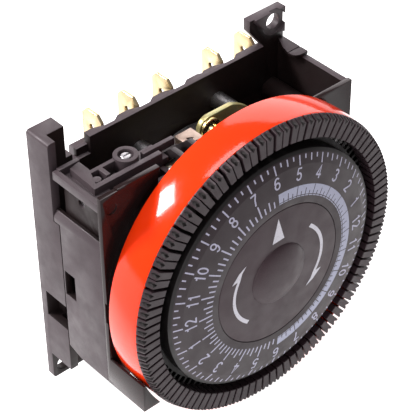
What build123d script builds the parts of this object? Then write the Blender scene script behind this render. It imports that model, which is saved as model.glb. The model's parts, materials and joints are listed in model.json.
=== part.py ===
"""Panel-mount 24-hour programmable timer with 96 captive tappets.

The origin is on the dial axis, in the back face of the rear plate. +Z is up, +X is to the right
of someone who faces the dial, and the dial looks along -Y. Depths are measured forwards from
the back face of the rear plate, so depth d lies at y = -d. Millimetres throughout.
"""

from build123d import *

import os
from math import atan2, cos, degrees, radians, sin

# ---------------------------------------------------------------- driving dimensions
body_half = 34.0            # half the width of the square 68 mm body
wall = 1.6                  # moulded side walls
plate_thick = 2.0           # rear plate
plate_top = 25.8            # top edge of the rear plate in front of the terminals
bay_top = 25.0              # top edge of the housing walls around the open bay
bay_bottom = -20.0          # underside of the front housing
panel_depth = (22.0, 23.2)  # back and front face of the front panel
seam_gap = 0.2              # gap between mouldings that only lie side by side

ring_r = 35.0               # carrier ring, outer radius at its two rims
ring_crown = 0.35           # how far the ring swells between its rims
ring_depth = (24.8, 33.4)   # rear and front rim of the ring
ring_inner_r = 32.9

tappet_count = 96           # one for each quarter of an hour
tappet_pitch = 360 / tappet_count
tappet_r = (30.4, 34.5, 35.1)       # inner edge, start of the bevel and outer edge
tappet_front = 35.3         # depth of the tappets' front faces
tappet_bevel_depth = 33.75  # depth of the bevel's outer edge
tappet_gap = 0.34           # mean free width between two neighbouring tappets
tappet_lean = 0.2           # degrees by which the tappets of the loose arc lean together in pairs
loose_hours = (5, 11)       # hours of that arc
moving_hours = (8, 10)      # the tappets of these two hours are bodies of their own

disc_r = 28.2               # scale disc
pointer_r = 16.55           # stationary pointer disc
pointer_depth = (36.0, 37.2)
cap_r = 7.3                 # domed cap in the middle
cap_height = 1.7

tab_width = 6.35            # blade of a quarter-inch quick-connect terminal
tab_thick = 0.8
tab_pitch = 9.45
tab_first_x = -14.8
tab_places = (0, 1, 2, 3.5, 4.5)     # terminal positions in pitches
tab_x = [tab_first_x + tab_pitch * place for place in tab_places]

hole_xz = 31.0              # mounting holes at (+31, +31) and (-31, -31)
hole_r = 1.9

spindle_r = 2.0
run_gap = 0.05              # radial running clearance of every shaft
fine_module = 0.4           # gears of the motor stage
coarse_module = 0.6         # gears of the dial stage
dial_teeth = 48
pinion_teeth = 12
wheel_teeth = 60
motor_teeth = 10
arbor_xz = (17.3, -4.98)    # axis of the intermediate gears
motor_xz = (5.17, 2.0)      # axis of the motor

os.makedirs("parts", exist_ok=True)


def finish(build, name):
    """Label a finished piece and write it."""
    build.part.label = name
    export_step(build.part, f"parts/{name}.step")


def front(depth):
    """Sketch plane parallel to the dial at the given depth, facing forwards."""
    return Plane.XZ.offset(depth)


def box_between(x, depth, z, mode=Mode.ADD):
    """Box in the current part, from its lowest to its highest x, depth and z."""
    with Locations(((x[0] + x[1]) / 2, -(depth[0] + depth[1]) / 2, (z[0] + z[1]) / 2)):
        Box(x[1] - x[0], depth[1] - depth[0], z[1] - z[0], mode=mode)


def disc_between(centre, radius, depth, mode=Mode.ADD):
    """Round disc in the current part, about an axis along Y, from one depth to another."""
    with Locations(front(depth[0])):
        with Locations((centre[0], centre[1], 0)):
            Cylinder(radius, depth[1] - depth[0], mode=mode,
                     align=(Align.CENTER, Align.CENTER, Align.MIN))


def upright_disc(x, depth, radius, z, mode=Mode.ADD):
    """Round disc in the current part, about an axis along Z."""
    with Locations((x, -depth, z[0])):
        Cylinder(radius, z[1] - z[0], mode=mode, align=(Align.CENTER, Align.CENTER, Align.MIN))


def turned(outline):
    """Solid of revolution about the dial axis from (radius, depth) corners."""
    with BuildSketch(Plane.XY) as profile:
        with BuildLine():
            Polyline(*[(radius, -depth) for radius, depth in outline], close=True)
        make_face()
    revolve(profile.sketch, axis=Axis.Y)


screw_slot = 0.5            # width of a screw's driver slot


def slotted_screws(name, places, head_r, head_depth, shank_r, shank_end):
    """Group of equal pan-head screws. Their heads lie between head_depth[0], where the shank
    starts, and head_depth[1], where the slot is."""
    outwards = 1 if head_depth[1] > head_depth[0] else -1
    slot_depth = head_depth[1] - outwards * 0.5 * abs(head_depth[1] - head_depth[0])
    with BuildPart() as screws:
        for place in places:
            disc_between(place, head_r, sorted(head_depth))
            disc_between(place, shank_r, sorted((head_depth[0], shank_end)))
            box_between((place[0] - head_r, place[0] + head_r), sorted((slot_depth, head_depth[1])),
                        (place[1] - screw_slot / 2, place[1] + screw_slot / 2), mode=Mode.SUBTRACT)
    finish(screws, name)


# ---------------------------------------------------------------- rear base
ear_left = 24.0             # left edge of the top right ear
ear_corner_z = 31.2         # the ear's slanted lower edge runs from here ...
ear_foot_x = 28.2           # ... down to here, on the plate's top edge
ear_pad = ((25.2, 34.0), (25.2, 33.2), (29.3, 28.9), (31.1, 28.4), (34.0, 27.5), (34.0, 34.0))
ear_pad_front = 2.6
ear_recess_r = 3.2          # recess for the head of the mounting screw
ear_recess_floor = 1.8
bar_top = 33.5              # top of the left-hand bar
bar_bottom = -26.4
bar_right = -27.7
bar_depth = 4.1
lip_right = -32.0           # narrow lip in front of the bar
lip_depth_top = 7.0         # the lip is lower beside the switch module
lip_depth = 8.8
lip_step_z = 14.3
ledge_top = 24.2            # ledge beside the bar
ledge_depth = 2.6
notch_x = (-25.0, -22.9)    # notch in the top edge between the ledge and the terminals
notch_z = 21.5
wall_left = -20.0           # left end of the raised wall in front of the terminals
low_top = 23.4
low_thick = 1.0             # the block is thinner than the plate
clip_outline = ((34.0, 2.0), (32.6, 2.0), (31.0, 5.0), (30.3, 7.4), (30.3, 9.8), (34.0, 9.8))
clip_corner_r = 1.8         # corner clip over the housing's right wall
clip_z = (25.2, 26.0)
clip_groove = (7.3, 7.6)
clip_groove_floor = 25.8
snap_slot_z = (-14.7, -8.0)
snap_slot_depth = (1.9, 9.5)
snap_slot_floor = -31.0
thin_back = 0.95            # back of the wall in front of the terminals, between its bosses
thin_z = 20.4
boss_offset = (-7.3, -0.4)  # foot of a trapezoid boss on the back of that wall, from its terminal
boss_crest = (-5.9, -3.0)   # and its crest, at the plate's back face
boss_places = (0, 1, 2, 3, 3.5, 4.5)
post_places = ((29.4, -16.2), (-24.8, -16.2), (30.2, 14.0))
screw_head_r = 1.9
screw_head = 1.1
screw_clear_r = 1.15
post_hole_r = 1.0
post_screw_tip = 11.0
corner_r = 0.8

with BuildPart() as rear_base:
    with BuildSketch(Plane.XZ):
        with BuildLine():
            Polyline(
                (-body_half, -body_half), (body_half, -body_half), (body_half, body_half),
                (ear_left, body_half), (ear_left, ear_corner_z), (ear_foot_x, plate_top),
                (wall_left, plate_top), (wall_left, low_top), (notch_x[1], low_top),
                (notch_x[1], notch_z), (notch_x[0], notch_z), (notch_x[0], ledge_top),
                (bar_right, ledge_top), (bar_right, bar_top), (-body_half, bar_top),
                close=True,
            )
        make_face()
    extrude(amount=plate_thick)
    box_between((wall_left, ear_left), (0, thin_back), (thin_z, plate_top), mode=Mode.SUBTRACT)
    for place in boss_places:
        terminal_x = tab_first_x + tab_pitch * place
        with BuildSketch(Plane.XY.offset(thin_z)):
            with BuildLine():
                Polyline(
                    (terminal_x + boss_offset[0], -thin_back), (terminal_x + boss_offset[1], -thin_back),
                    (terminal_x + boss_crest[1], 0), (terminal_x + boss_crest[0], 0),
                    close=True,
                )
            make_face()
        extrude(amount=plate_top - thin_z)
    box_between((notch_x[1], wall_left), (0, plate_thick), (low_top, plate_top), mode=Mode.SUBTRACT)
    box_between((notch_x[1], wall_left), (low_thick, plate_thick), (notch_z, low_top),
                mode=Mode.SUBTRACT)
    box_between((bar_right, notch_x[0]), (0, ledge_depth), (notch_z, ledge_top))
    box_between((-body_half, bar_right), (plate_thick, bar_depth), (bar_bottom, bar_top))
    box_between((-body_half, lip_right), (bar_depth, lip_depth_top), (bar_bottom, bar_top))
    box_between((-body_half, lip_right), (lip_depth_top, lip_depth), (bar_bottom, lip_step_z))
    with BuildSketch(front(plate_thick)):
        with BuildLine():
            Polyline(*ear_pad, close=True)
        make_face()
    extrude(amount=ear_pad_front - plate_thick)
    disc_between((hole_xz, hole_xz), ear_recess_r, (ear_recess_floor, ear_pad_front),
                 mode=Mode.SUBTRACT)
    with BuildSketch(Plane.XY.offset(clip_z[0])):
        with BuildLine():
            Polyline(*[(x, -depth) for x, depth in clip_outline], close=True)
        make_face()
        fillet(vertices().group_by(Axis.Y)[0].sort_by(Axis.X)[0], clip_corner_r)
    extrude(amount=clip_z[1] - clip_z[0])
    box_between((clip_outline[3][0], body_half), clip_groove, (clip_groove_floor, clip_z[1]),
                mode=Mode.SUBTRACT)
    box_between((-body_half, snap_slot_floor), snap_slot_depth, snap_slot_z, mode=Mode.SUBTRACT)
    for corner in (hole_xz, -hole_xz):
        disc_between((corner, corner), hole_r, (0, ear_pad_front), mode=Mode.SUBTRACT)
    for place in post_places:
        disc_between(place, screw_head_r, (0, screw_head), mode=Mode.SUBTRACT)
        disc_between(place, screw_clear_r, (0, plate_thick), mode=Mode.SUBTRACT)
    corners = rear_base.edges().filter_by(Axis.Y).filter_by(
        lambda e: abs(abs(e.center().X) - body_half) < corner_r / 2
        and (e.center().Z < -body_half + corner_r / 2 or e.center().X < 0 < e.center().Z - notch_z))
    fillet(corners, corner_r)
finish(rear_base, "rear_base")

# ---------------------------------------------------------------- terminal block and terminals
block_back = -7.4           # the block stands out behind the rear plate
block_z = (9.0, 18.2)
block_margin = 4.0
block_chamfer = 0.6
tab_back = -6.75            # depth of a blade's rear edge
tab_z = (12.0, 26.6)
tab_chamfer = 1.5
tab_rim_chamfer = 0.15
tab_hole_r = 0.85
tab_hole_drop = 4.1         # from the tip to the middle of the blade's hole

with BuildPart() as terminal_block:
    box_between((tab_x[0] - block_margin, tab_x[-1] + block_margin), (block_back, 0), block_z)
    for x in tab_x:
        box_between((x - tab_thick / 2, x + tab_thick / 2), (tab_back, tab_back + tab_width),
                    (tab_z[0], block_z[1]), mode=Mode.SUBTRACT)
    rear_edges = terminal_block.edges().filter_by(Axis.X).group_by(Axis.Y)[-1]
    chamfer(rear_edges, block_chamfer)
finish(terminal_block, "terminal_block")

for number, x in enumerate(tab_x, start=1):
    with BuildPart() as terminal:
        with BuildSketch(Plane.YZ.offset(x - tab_thick / 2)):
            with Locations((-tab_back - tab_width / 2, sum(tab_z) / 2)):
                Rectangle(tab_width, tab_z[1] - tab_z[0])
            tips = vertices().group_by(Axis.Y)[-1]
            chamfer(tips, tab_chamfer)
            with Locations((-tab_back - tab_width / 2, tab_z[1] - tab_hole_drop)):
                Circle(tab_hole_r, mode=Mode.SUBTRACT)
        extrude(amount=tab_thick)
        rim = terminal.edges().filter_by(Axis.Y).group_by(Axis.Z)[-1]
        chamfer(rim, tab_rim_chamfer)
    finish(terminal, f"terminal_{number}")

# ---------------------------------------------------------------- front housing
side_top = 17.3             # top of the left wall, under the side window
sill_drop = 1.5             # bevelled sill of that window
left_back = 9.0             # depth where the left wall starts, in front of the bar's lip
small_slot_depth = (9.4, 12.7)
small_slot_z = (-3.8, 2.7)
slant = (4.0, 1.3)          # slanted lower rear corner of the left wall, along Y and along Z
post_r = 2.6                # screw posts that join the housing to the rear base
housing_front = panel_depth[0]

with BuildPart() as front_housing:
    box_between((body_half - wall, body_half), (plate_thick, housing_front), (bay_bottom, bay_top))
    with BuildSketch(Plane.XY.offset(bay_bottom)):
        with BuildLine():
            Polyline(
                (body_half, -plate_thick), (body_half, -housing_front), (-body_half, -housing_front),
                (-body_half, -left_back - slant[0]), (lip_right + seam_gap, -left_back - slant[0]),
                (lip_right + seam_gap, -bar_depth - seam_gap),
                (bar_right + seam_gap, -bar_depth - seam_gap), (bar_right + seam_gap, -plate_thick),
                close=True,
            )
        make_face()
    extrude(amount=wall)
    with BuildSketch(Plane.YZ.offset(-body_half)):
        with BuildLine():
            Polyline(
                (-housing_front, bay_bottom), (-housing_front, side_top),
                (-lip_depth_top - seam_gap, side_top),
                (-lip_depth_top - seam_gap, lip_step_z + seam_gap),
                (-left_back, lip_step_z + seam_gap), (-left_back, bay_bottom + slant[1]),
                (-left_back - slant[0], bay_bottom), close=True,
            )
        make_face()
    extrude(amount=wall)
    for place in post_places:
        disc_between(place, post_r, (plate_thick, housing_front))
    for place in post_places:
        disc_between(place, post_hole_r, (plate_thick, housing_front), mode=Mode.SUBTRACT)
    box_between((-body_half, -body_half + wall), small_slot_depth, small_slot_z, mode=Mode.SUBTRACT)
    sill = front_housing.edges().filter_by(Axis.Y).filter_by(
        lambda e: abs(e.center().X + body_half) < seam_gap and abs(e.center().Z - side_top) < seam_gap)
    chamfer(sill, sill_drop, wall / 2)
finish(front_housing, "front_housing")

slotted_screws("housing_screws", post_places, screw_head_r - run_gap, (screw_head, run_gap),
               post_hole_r, post_screw_tip)

# ---------------------------------------------------------------- front panel
panel_top = 30.0            # top of the panel in front of the switch module
panel_corner_top = 29.6
panel_corner_x = -29.8
panel_step_x = -19.2        # right of here the panel is as low as the bay
panel_low_top = 25.4
panel_hole_r = 6.0          # the dial's hub turns in this hole
dimple_xz = (-31.5, 26.1)
dimple_r = 1.3
dimple_drop = 0.3
pocket_r = 34.1             # shallow round pocket behind the drum
pocket_floor = 22.6
guard_right = -29.0         # guard block at the lower left corner, hollowed round the dial
guard_top = -12.8
guard_front = 33.8
guard_r = 35.8

with BuildPart() as front_panel:
    with BuildSketch(front(panel_depth[0])):
        with BuildLine():
            Polyline(
                (-body_half, bay_bottom), (body_half, bay_bottom), (body_half, panel_low_top),
                (panel_step_x, panel_low_top), (panel_step_x, panel_top),
                (panel_corner_x, panel_top), (panel_corner_x, panel_corner_top),
                (-body_half, panel_corner_top), close=True,
            )
        make_face()
        Circle(panel_hole_r, mode=Mode.SUBTRACT)
    extrude(amount=panel_depth[1] - panel_depth[0])
    disc_between(dimple_xz, dimple_r, (panel_depth[1] - dimple_drop, panel_depth[1]),
                 mode=Mode.SUBTRACT)
    disc_between((0, 0), pocket_r, (pocket_floor, panel_depth[1]), mode=Mode.SUBTRACT)
    box_between((-body_half, guard_right), (panel_depth[0], guard_front), (bay_bottom, guard_top))
    disc_between((0, 0), guard_r, (panel_depth[1], guard_front), mode=Mode.SUBTRACT)
finish(front_panel, "front_panel")

# ---------------------------------------------------------------- switch module
base_x = (-32.2, -14.0)     # open-topped tray of the switch
base_depth = (9.0, 21.6)
base_z = (13.0, 24.6)
base_wall = 1.2
base_low_x = -27.5          # behind the pin, the tray's right part is lower
base_low_front = 12.4
base_low_z = 21.0
pin_depth = 14.5            # axis of the follower lever, along X
pin_z = 22.5
pin_r = 1.0
pin_x = (-31.6, -7.2)
rib_x = (-20.6, -19.4)      # inner rib that carries the pin
lever_x = (-19.0, -6.8)     # length of the lever's barrel
barrel_r = 1.6
barrel_hole_r = 2.0         # hole in the tray for the barrel

with BuildPart() as switch_base:
    box_between(base_x, base_depth, base_z)
    box_between((base_x[0] + base_wall, base_x[1] - base_wall),
                (base_depth[0] + base_wall, base_depth[1] - base_wall),
                (base_z[0] + base_wall, base_z[1]), mode=Mode.SUBTRACT)
    box_between(rib_x, (base_depth[0], pin_depth + 2 * pin_r), (base_z[0], base_z[1]))
    box_between((base_low_x, base_x[1]), (base_depth[0], base_low_front), (base_low_z, base_z[1]),
                mode=Mode.SUBTRACT)
    with BuildSketch(Plane.YZ.offset(base_x[0])):
        with Locations((-pin_depth, pin_z)):
            Circle(pin_r)
    extrude(amount=rib_x[1] - base_x[0], mode=Mode.SUBTRACT)
    with BuildSketch(Plane.YZ.offset(base_x[1] - base_wall)):
        with Locations((-pin_depth, pin_z)):
            Circle(barrel_hole_r)
    extrude(amount=base_wall, mode=Mode.SUBTRACT)
finish(switch_base, "switch_base")

cover_depth = (8.0, 22.0)
cover_z = (24.9, 26.3)      # flat part of the cover
cover_rail_z = (25.7, 27.7) # side rail along the left edge
cover_high = 28.0           # rear rim, ribs and beams
cover_left = (-33.0, -28.0) # tray beside the beams
cover_strip_x = (-33.0, -12.8)
rail_right = -32.8
rim_right = -27.9
rim_front = 9.0
shoulder = ((-31.1, 9.9), (-28.4, 9.3), (-28.4, 12.6), (-30.4, 17.3), (-31.4, 17.3))   # raised part
front_rib_x = (-31.5, -14.4)
front_rib_depth = (17.0, 18.2)
rear_beam_x = (-29.6, -22.0)
rear_beam_depth = (12.9, 13.8)      # the cover's right part starts here
cross_beam_x = (-27.1, -26.1)
lump_xd = (-29.2, 16.0)     # round lump between ridge and front rib
lump_r = 0.9
pocket_x = ((-28.6, -27.1), (-26.1, -22.9))     # openings between the beams
pocket_depth = (13.8, 16.4)
end_rib_x = (-17.4, -9.4)   # rib that reaches over the follower lever
end_rib_depth = (15.0, 16.0)
end_rib_bottom = 26.3
boss_xd = (-20.4, 14.1)     # boss of the cover screw, x and depth
boss_r = 2.6
boss_top = 28.5
boss_hole_r = 1.65
boss_floor = 27.5
cover_screw_r = 1.1
cover_screw_top = 28.2
cover_screw_edge = 0.15
cover_slot_width = 0.35
cover_slot_depth = 0.35
screw_thread_r = 0.8

with BuildPart() as switch_cover:
    box_between(cover_left, cover_depth, cover_z)
    box_between(cover_strip_x, (rear_beam_depth[0], front_rib_depth[1]), cover_z)
    box_between((-body_half, rail_right), cover_depth, cover_rail_z)
    box_between((cover_left[0], rim_right), (cover_depth[0], rim_front), (cover_z[0], cover_high))
    with BuildSketch(Plane.XY.offset(cover_z[0])):
        with BuildLine():
            Polyline(*[(x, -depth) for x, depth in shoulder], close=True)
        make_face()
    extrude(amount=cover_high - cover_z[0])
    box_between(front_rib_x, front_rib_depth, (cover_z[0], cover_high))
    box_between(rear_beam_x, rear_beam_depth, (cover_z[0], cover_high))
    box_between(cross_beam_x, pocket_depth, (cover_z[0], cover_high))
    upright_disc(*lump_xd, lump_r, (cover_z[0], cover_high))
    for x in pocket_x:
        box_between(x, pocket_depth, cover_z, mode=Mode.SUBTRACT)
    box_between(end_rib_x, end_rib_depth, (end_rib_bottom, cover_high))
    box_between((end_rib_x[0], cover_strip_x[1]), end_rib_depth, (cover_z[0], cover_high))
    upright_disc(*boss_xd, boss_r, (cover_z[0], boss_top))
    upright_disc(*boss_xd, boss_hole_r, (boss_floor, boss_top), mode=Mode.SUBTRACT)
    upright_disc(*boss_xd, screw_thread_r, (cover_z[0], boss_top), mode=Mode.SUBTRACT)
finish(switch_cover, "switch_cover")

with BuildPart() as cover_screw:
    upright_disc(*boss_xd, cover_screw_r, (boss_floor, cover_screw_top))
    upright_disc(*boss_xd, screw_thread_r, (cover_z[0], boss_floor))
    head_edge = cover_screw.edges().filter_by(GeomType.CIRCLE).group_by(Axis.Z)[-1]
    chamfer(head_edge, cover_screw_edge)
    box_between((boss_xd[0] - cover_screw_r, boss_xd[0] + cover_screw_r),
                (boss_xd[1] - cover_slot_width / 2, boss_xd[1] + cover_slot_width / 2),
                (cover_screw_top - cover_slot_depth, cover_screw_top), mode=Mode.SUBTRACT)
finish(cover_screw, "cover_screw")

with BuildPart() as lever_pin:
    with BuildSketch(Plane.YZ.offset(pin_x[0])):
        with Locations((-pin_depth, pin_z)):
            Circle(pin_r)
    extrude(amount=pin_x[1] - pin_x[0])
finish(lever_pin, "lever_pin")

arm_thick = 1.3             # two fork arms reach from the barrel to the tappets' legs
arm_x = (-12.4, -8.1)       # left faces of the arms
arm_outline = ((14.0, 23.9), (18.2, 27.9), (28.3, 27.9), (28.3, 26.6), (19.4, 26.6), (15.9, 22.6))
bridge_depth = (26.4, 28.3) # bridge between the arms' tips
bridge_z = (26.6, 27.9)
finger_x = (-18.8, -16.0)   # finger that presses the moving contact
finger_z = (19.45, 21.9)
finger_front = 19.5
finger_thick = 1.0
tail_depth = (10.6, 14.0)   # tail that the spring pulls down
tail_z = (21.9, 23.1)

with BuildPart() as switch_lever:
    with BuildSketch(Plane.YZ.offset(lever_x[0])):
        with Locations((-pin_depth, pin_z)):
            Circle(barrel_r)
    extrude(amount=lever_x[1] - lever_x[0])
    for x in arm_x:
        with BuildSketch(Plane.YZ.offset(x)):
            with BuildLine():
                Polyline(*[(-depth, z) for depth, z in arm_outline], close=True)
            make_face()
        extrude(amount=arm_thick)
    box_between((arm_x[0], arm_x[1] + arm_thick), bridge_depth, bridge_z)
    box_between(finger_x, (pin_depth, finger_front), (finger_z[1] - finger_thick, finger_z[1]))
    box_between(finger_x, (finger_front - finger_thick, finger_front), finger_z)
    box_between(finger_x, (tail_depth[0], pin_depth), tail_z)
    with BuildSketch(Plane.YZ.offset(lever_x[0])):
        with Locations((-pin_depth, pin_z)):
            Circle(pin_r + run_gap)
    extrude(amount=lever_x[1] - lever_x[0], mode=Mode.SUBTRACT)
finish(switch_lever, "switch_lever")

spring_r = 0.9              # extension spring under the lever's tail
spring_wire_r = 0.18
spring_pitch = 0.6
spring_hook = 0.5           # free height between the spring and the tail
spring_z = (base_z[0] + base_wall + spring_wire_r, tail_z[0] - spring_hook)
spring_xd = (-17.4, 11.9)

with BuildPart() as lever_spring:
    with BuildLine():
        coil = Helix(spring_pitch, spring_z[1] - spring_z[0], spring_r,
                     center=(spring_xd[0], -spring_xd[1], spring_z[0]))
    with BuildSketch(Plane(origin=coil @ 0, z_dir=coil % 0)):
        Circle(spring_wire_r)
    sweep()
finish(lever_spring, "lever_spring")

blade_root = (-30.0, 19.15) # the moving contact bends about this line, x and z
blade_x = (-30.4, -16.2)
blade_depth = (17.3, 19.9)
blade_thick = 0.3
contact_x = -22.0
contact_depth = 18.6
contact_r = 1.0
moving_contact_z = (18.5, 19.8)
upper_strip_z = (20.35, 20.85)
lower_strip_z = (16.5, 17.0)
strip_x = (-31.0, -20.9)
strip_foot_width = 2.6
upper_contact_z = (19.9, 20.35)
lower_contact_z = (17.0, 17.9)


with BuildPart() as moving_contact_blade:
    box_between(blade_x, blade_depth,
                (blade_root[1] - blade_thick / 2, blade_root[1] + blade_thick / 2))
    upright_disc(contact_x, contact_depth, contact_r / 2, moving_contact_z, mode=Mode.SUBTRACT)
finish(moving_contact_blade, "moving_contact_blade")

with BuildPart() as moving_contact:
    upright_disc(contact_x, contact_depth, contact_r / 2, moving_contact_z)
    upright_disc(contact_x, contact_depth, contact_r,
                 (moving_contact_z[0], blade_root[1] - blade_thick / 2))
    upright_disc(contact_x, contact_depth, contact_r,
                 (blade_root[1] + blade_thick / 2, moving_contact_z[1]))
finish(moving_contact, "moving_contact")

for name, strip_z in (("fixed_contact_upper", upper_strip_z), ("fixed_contact_lower", lower_strip_z)):
    with BuildPart() as strip:
        box_between(strip_x, blade_depth, strip_z)
        box_between((strip_x[0], strip_x[0] + strip_foot_width),
                    (base_depth[0] + base_wall, blade_depth[1]), strip_z)
    finish(strip, name)

with BuildPart() as fixed_contacts:
    upright_disc(contact_x, contact_depth, contact_r, upper_contact_z)
    upright_disc(contact_x, contact_depth, contact_r, lower_contact_z)
finish(fixed_contacts, "fixed_contacts")

# ---------------------------------------------------------------- mechanism plate
mech_depth = (11.0, 12.2)
mech_left = -10.5
mech_right = 26.6
mech_bottom = -17.3
mech_shoulder = (19.5, 2.0) # lower end of the narrow top on the right
mech_low_shoulder_z = -3.0
mech_upper_right = ((16.2, 19.8), (13.8, 22.4), (9.6, 24.8))    # rounded top right corner
mech_upper_left = ((0.6, 20.2), (-6.5, 20.2), (-10.5, 17.0))    # step below the eyelet, and corner
spacer_places = ((-8.0, -14.6), (24.0, -14.0), (-7.4, 16.3), (14.6, 18.2))
spacer_r = 2.0
spacer_hole_r = 0.9
eyelet_xz = (3.4, 22.0)     # eyelet in the rounded left end of the plate's top
eyelet_end_r = 2.8
eyelet_r = 2.55
eyelet_shank_r = 1.7
eyelet_bore_r = 1.25
eyelet_front = 13.1
eyelet_lip_r = 0.4
plate_screw_r = 1.6
plate_screw_head = 0.9
plate_screw_tip = 6.0
motor_screw_tip = 12.6
arbor_r = 1.0
motor_shaft_r = 0.8
lug_reach = 16.2            # distance of the motor's screws from its axis
lug_angle = 100.0
motor_lugs = [
    (motor_xz[0] + side * lug_reach * cos(radians(lug_angle)),
     motor_xz[1] + side * lug_reach * sin(radians(lug_angle)))
    for side in (1, -1)
]

with BuildPart() as mechanism_plate:
    with BuildSketch(front(mech_depth[0])):
        with BuildLine():
            ThreePointArc(*mech_upper_right)
            Polyline(mech_upper_right[-1], (eyelet_xz[0], eyelet_xz[1] + eyelet_end_r))
            RadiusArc((eyelet_xz[0], eyelet_xz[1] + eyelet_end_r),
                      (eyelet_xz[0] - eyelet_end_r, eyelet_xz[1]), -eyelet_end_r)
            Polyline(
                (eyelet_xz[0] - eyelet_end_r, eyelet_xz[1]), *mech_upper_left,
                (mech_left, mech_bottom), (mech_right, mech_bottom),
                (mech_right, mech_low_shoulder_z), mech_shoulder, mech_upper_right[0],
            )
        make_face()
        with Locations((0, 0)):
            Circle(spindle_r, mode=Mode.SUBTRACT)
        with Locations(arbor_xz):
            Circle(arbor_r, mode=Mode.SUBTRACT)
        with Locations(motor_xz):
            Circle(motor_shaft_r + run_gap, mode=Mode.SUBTRACT)
        with Locations(eyelet_xz):
            Circle(eyelet_shank_r, mode=Mode.SUBTRACT)
        with Locations(*spacer_places, *motor_lugs):
            Circle(spacer_hole_r, mode=Mode.SUBTRACT)
    extrude(amount=mech_depth[1] - mech_depth[0])
finish(mechanism_plate, "mechanism_plate")

with BuildPart() as spacer_posts:
    for place in spacer_places:
        disc_between(place, spacer_r, (plate_thick, mech_depth[0]))
    for place in spacer_places:
        disc_between(place, spacer_hole_r, (plate_thick, mech_depth[0]), mode=Mode.SUBTRACT)
finish(spacer_posts, "spacer_posts")

slotted_screws("plate_screws", spacer_places, plate_screw_r,
               (mech_depth[1], mech_depth[1] + plate_screw_head), spacer_hole_r, plate_screw_tip)

with BuildPart() as eyelet_rivet:
    disc_between(eyelet_xz, eyelet_r, (mech_depth[1], eyelet_front))
    disc_between(eyelet_xz, eyelet_shank_r, (mech_depth[0], mech_depth[1]))
    lip = eyelet_rivet.edges().filter_by(GeomType.CIRCLE).group_by(Axis.Y)[0]
    fillet(lip, eyelet_lip_r)
    disc_between(eyelet_xz, eyelet_bore_r, (mech_depth[0], eyelet_front), mode=Mode.SUBTRACT)
finish(eyelet_rivet, "eyelet_rivet")

strip_left = -6.2           # copper click strip beside the eyelet
strip_right = -1.8
strip_foot_z = (18.4, 24.0)
strip_thick = 0.6
strip_tongue_depth = (mech_depth[1], 16.2)
strip_tongue_z = (24.0, 24.6)
strip_notch_r = 1.0         # its triangular opening, from the middle to a corner
strip_notch_xd = (-4.4, 15.0)

with BuildPart() as click_strip:
    box_between((strip_left, strip_right), (mech_depth[1], mech_depth[1] + strip_thick), strip_foot_z)
    box_between((strip_left, strip_right), strip_tongue_depth, strip_tongue_z)
    with BuildSketch(Plane.XY.offset(strip_tongue_z[0])):
        with Locations((strip_notch_xd[0], -strip_notch_xd[1])):
            RegularPolygon(strip_notch_r, 3)
    extrude(amount=strip_tongue_z[1] - strip_tongue_z[0], mode=Mode.SUBTRACT)
finish(click_strip, "click_strip")

# ---------------------------------------------------------------- motor
can_r = 14.0
can_wall = 0.8
can_back = 2.6
lug_r = 2.3
coil_r = (6.6, 13.1)
coil_depth = (3.6, 10.6)
rotor_r = 6.2
rotor_depth = (4.0, 10.2)
motor_shaft_depth = (can_back, 15.7)
motor_gear_depth = (13.35, 15.2)

with BuildPart() as motor_can:
    disc_between(motor_xz, can_r, (can_back, mech_depth[0]))
    with BuildSketch(front(mech_depth[0] - can_wall)):
        with Locations(motor_xz):
            SlotCenterToCenter(2 * lug_reach, 2 * lug_r, rotation=lug_angle)
    extrude(amount=can_wall)
    disc_between(motor_xz, can_r - can_wall, (can_back + can_wall, mech_depth[0]), mode=Mode.SUBTRACT)
    disc_between(motor_xz, motor_shaft_r + run_gap, (can_back, mech_depth[0]), mode=Mode.SUBTRACT)
    for place in motor_lugs:
        disc_between(place, spacer_hole_r, (can_back, mech_depth[0]), mode=Mode.SUBTRACT)
finish(motor_can, "motor_can")

with BuildPart() as motor_coil:
    disc_between(motor_xz, coil_r[1], coil_depth)
    disc_between(motor_xz, coil_r[0], coil_depth, mode=Mode.SUBTRACT)
finish(motor_coil, "motor_coil")

with BuildPart() as motor_rotor:
    disc_between(motor_xz, rotor_r, rotor_depth)
    disc_between(motor_xz, motor_shaft_r, rotor_depth, mode=Mode.SUBTRACT)
finish(motor_rotor, "motor_rotor")

with BuildPart() as motor_shaft:
    disc_between(motor_xz, motor_shaft_r, motor_shaft_depth)
finish(motor_shaft, "motor_shaft")

slotted_screws("motor_screws", motor_lugs, plate_screw_r,
               (mech_depth[0] - can_wall, mech_depth[0] - can_wall - plate_screw_head),
               spacer_hole_r, motor_screw_tip)

# ---------------------------------------------------------------- gears
tooth_tip = 0.12            # half thickness of a tooth at its tip and root, in pitches
tooth_root = 0.31
addendum = 0.8              # in modules
dedendum = 1.0


def gear(name, centre, teeth, module, depth, bore_r, phase):
    """Spur gear; phase is the angle of one tooth from +X, counter-clockwise from the front."""
    pitch_r = teeth * module / 2
    tip_r = pitch_r + addendum * module
    root_r = pitch_r - dedendum * module
    pitch = 360 / teeth
    corners = []
    for tooth in range(teeth):
        middle = phase + tooth * pitch
        for radius, turn in ((root_r, -tooth_root), (tip_r, -tooth_tip), (tip_r, tooth_tip),
                             (root_r, tooth_root)):
            angle = radians(middle + turn * pitch)
            corners.append((centre[0] + radius * cos(angle), centre[1] + radius * sin(angle)))
    with BuildPart() as wheel:
        with BuildSketch(front(depth[0])):
            with BuildLine():
                Polyline(*corners, close=True)
            make_face()
            with Locations(centre):
                Circle(bore_r, mode=Mode.SUBTRACT)
        extrude(amount=depth[1] - depth[0])
    finish(wheel, name)


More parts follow.
